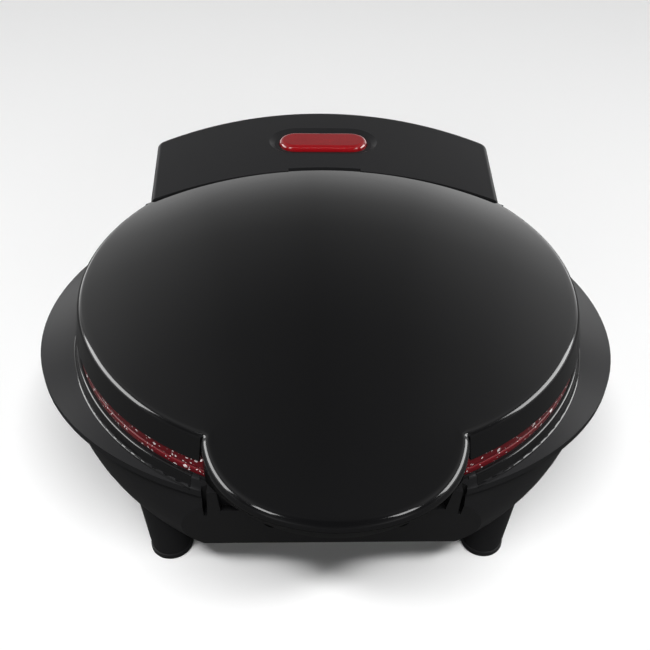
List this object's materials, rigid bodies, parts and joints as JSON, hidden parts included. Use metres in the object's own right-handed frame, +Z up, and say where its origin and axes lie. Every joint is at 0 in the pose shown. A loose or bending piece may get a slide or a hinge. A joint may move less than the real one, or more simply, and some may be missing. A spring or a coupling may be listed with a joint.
{
  "type": "electric omelette maker",
  "caption": "Round countertop omelette maker with hinged domed lid, front handle, half-moon cooking plates, flared base on legs and a rear block with an indicator light.",
  "frame": {"origin": "centre of the object's box in plan, at the table", "axes": "+Z up; +Y from the handle towards the rear block; +X along the hinge, to the right as seen from the handle"},
  "size_m": [0.232, 0.2585, 0.1075],
  "materials": {
    "base_plastic": "satin moulded thermoplastic, dark grey",
    "gloss_cover": "high-gloss moulded thermoplastic, near black",
    "frame_plastic": "heat-resistant moulded thermoplastic, black",
    "plate_coating": "dark red non-stick coating with fine light speckles on cast aluminium",
    "pad_rubber": "soft black rubber",
    "element_steel": "heat-tinted steel tube",
    "sheet_steel": "pressed bright sheet steel",
    "screw_steel": "zinc-plated steel",
    "pin_steel": "turned steel",
    "bush_plastic": "natural acetal",
    "terminal_plastic": "off-white polyamide",
    "stat_ceramic": "cream ceramic body",
    "gland_plastic": "black polyamide",
    "lens_plastic": "translucent red, polished",
    "lamp_glass": "clear neon lamp envelope"
  },
  "bodies": {
    "base": {"base_housing": "base_plastic", "base_bottom_cover": "base_plastic", "bottom_cover_screws": "screw_steel", "lower_cooking_plate": "plate_coating", "lower_plate_screws": "screw_steel", "lower_heating_element": "element_steel", "lower_element_clips": "sheet_steel", "lower_clip_screws": "screw_steel", "lower_heat_shield": "sheet_steel", "lower_shield_screws": "screw_steel", "lower_thermostat": "stat_ceramic", "thermal_fuse": "pin_steel", "fuse_clip": "sheet_steel", "terminal_block": "terminal_plastic", "terminal_screws": "screw_steel", "cord_inlet_gland": "gland_plastic", "hinge_pin_right": "pin_steel", "hinge_pin_left": "pin_steel", "hinge_pin_clips": "screw_steel", "foot_pad_front_left": "pad_rubber", "foot_pad_front_right": "pad_rubber", "foot_pad_rear_left": "pad_rubber", "foot_pad_rear_right": "pad_rubber"},
    "lid": {"lid_top_cover": "gloss_cover", "lid_frame": "frame_plastic", "rear_block_cover": "base_plastic", "handle_lower_shell": "frame_plastic", "hinge_bush_right": "bush_plastic", "hinge_bush_left": "bush_plastic", "upper_cooking_plate": "plate_coating", "upper_plate_screws": "screw_steel", "handle_screws": "screw_steel", "block_cover_screws": "screw_steel", "upper_heating_element": "element_steel", "upper_element_clips": "sheet_steel", "upper_clip_screws": "screw_steel", "upper_heat_shield": "sheet_steel", "upper_shield_screws": "screw_steel", "upper_thermostat": "stat_ceramic", "indicator_lens": "lens_plastic", "indicator_lamp": "lamp_glass", "lamp_holder": "terminal_plastic"}
  },
  "joints": [
    {"name": "lid_hinge", "type": "hinge", "parent": "base", "child": "lid", "pos_m": [0, 0.10575, 0.072], "axis": [-1, 0, 0], "range_deg": [0, 100]}
  ]
}
